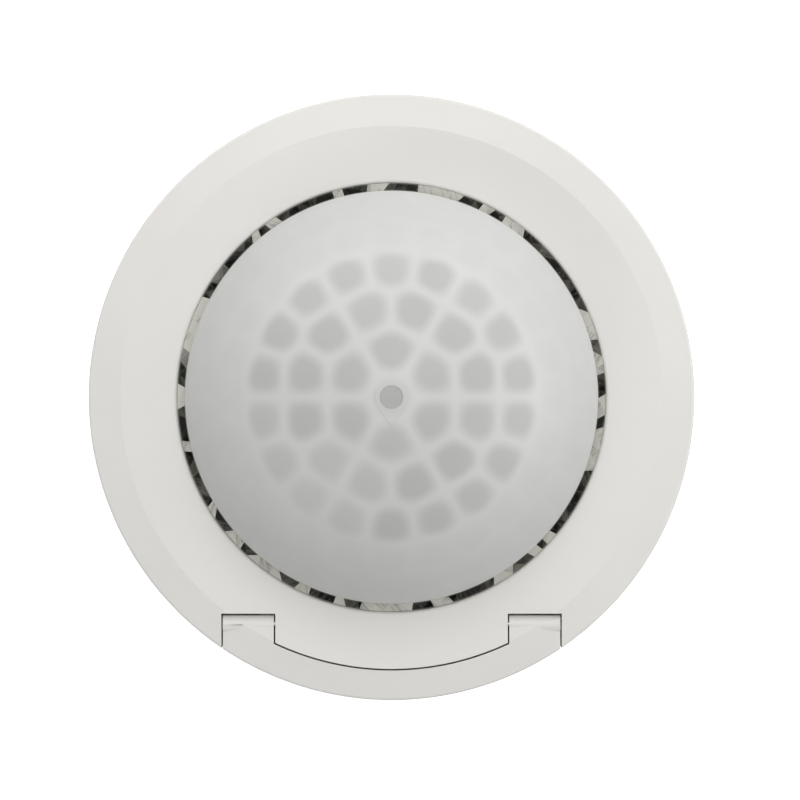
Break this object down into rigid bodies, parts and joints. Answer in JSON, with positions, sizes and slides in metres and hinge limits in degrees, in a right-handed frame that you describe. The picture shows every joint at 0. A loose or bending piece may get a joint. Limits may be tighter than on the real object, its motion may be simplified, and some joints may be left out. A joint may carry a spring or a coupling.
{
  "type": "motion sensor",
  "caption": "Round ceiling motion sensor with a milky dome lens in a bezel ring, a hinged access flap, setting dials and a test button behind it.",
  "frame": {"origin": "centre of the flat mounting face that meets the ceiling or wall", "axes": "+Z out of the front through the dome, +Y away from the access flap, +X to the right when looking at the front with the flap at the bottom"},
  "size_m": [0.108, 0.108, 0.0649],
  "materials": {
    "cover_plastic": "warm off-white moulded plastic with a fine satin grain",
    "lens_plastic": "milky translucent polyethylene, thinner in each lens cell",
    "clear_plastic": "clear moulded acrylic",
    "housing_plastic": "off-white moulded plastic",
    "panel_plastic": "dark grey moulded plastic",
    "dial_plastic": "light grey moulded plastic",
    "button_plastic": "red moulded plastic",
    "terminal_plastic": "dark green moulded plastic",
    "black_plastic": "black moulded plastic",
    "board": "green solder mask on glass-fibre board",
    "capacitor_sleeve": "shrunk dark blue sleeve",
    "film_resin": "amber resin dip",
    "detector_can": "plated metal can",
    "detector_filter": "dark infrared filter",
    "grommet_rubber": "black rubber",
    "brass": "tinned brass",
    "steel": "zinc-plated steel"
  },
  "bodies": {
    "base": {"base_plate": "housing_plastic", "cable_grommet": "grommet_rubber", "terminal_block": "terminal_plastic", "terminal_clamps": "brass", "terminal_screws": "steel", "supply_pins": "brass", "housing": "housing_plastic", "housing_screws": "steel", "main_board": "board", "board_screws": "steel", "relay": "black_plastic", "transformer": "black_plastic", "capacitors": "capacitor_sleeve", "film_capacitor": "film_resin", "microcontroller": "black_plastic", "sensor_board": "board", "board_spacers": "brass", "sensor_screws": "steel", "board_connector": "black_plastic", "infrared_detector": "detector_can", "detector_window": "detector_filter", "detector_collar": "black_plastic", "light_sensor": "clear_plastic", "status_led": "clear_plastic", "lens_dome": "lens_plastic", "light_ring": "clear_plastic", "light_pipe": "clear_plastic", "dial_panel": "panel_plastic", "panel_screws": "steel", "control_board": "board", "dial_trimmers": "black_plastic", "button_switch": "black_plastic"},
    "cover": {"cover_ring": "cover_plastic", "hinge_pins": "steel"},
    "flap": {"access_flap": "cover_plastic"},
    "time_dial": {"time_dial": "dial_plastic"},
    "light_dial": {"light_dial": "dial_plastic"},
    "range_dial": {"range_dial": "dial_plastic"},
    "test_button": {"test_button": "button_plastic"}
  },
  "joints": [
    {"name": "cover_twist", "type": "hinge", "parent": "base", "child": "cover", "pos_m": [0, 0, 0], "axis": [0, 0, 1], "range_deg": [0, 16]},
    {"name": "flap_hinge", "type": "hinge", "parent": "cover", "child": "flap", "pos_m": [0, -0.0404, 0.0264], "axis": [-1, 0, 0], "range_deg": [0, 90]},
    {"name": "time_dial_turn", "type": "hinge", "parent": "base", "child": "time_dial", "pos_m": [-0.012, -0.043, 0.0155], "axis": [0, -1, 0], "range_deg": [-135, 135]},
    {"name": "light_dial_turn", "type": "hinge", "parent": "base", "child": "light_dial", "pos_m": [0, -0.043, 0.0155], "axis": [0, -1, 0], "range_deg": [-135, 135]},
    {"name": "range_dial_turn", "type": "hinge", "parent": "base", "child": "range_dial", "pos_m": [0.012, -0.043, 0.0155], "axis": [0, -1, 0], "range_deg": [-135, 135]},
    {"name": "test_button_press", "type": "slide", "parent": "base", "child": "test_button", "axis": [0, 1, 0], "range_m": [0, 0.0008], "stiffness_N_per_m": 400}
  ]
}
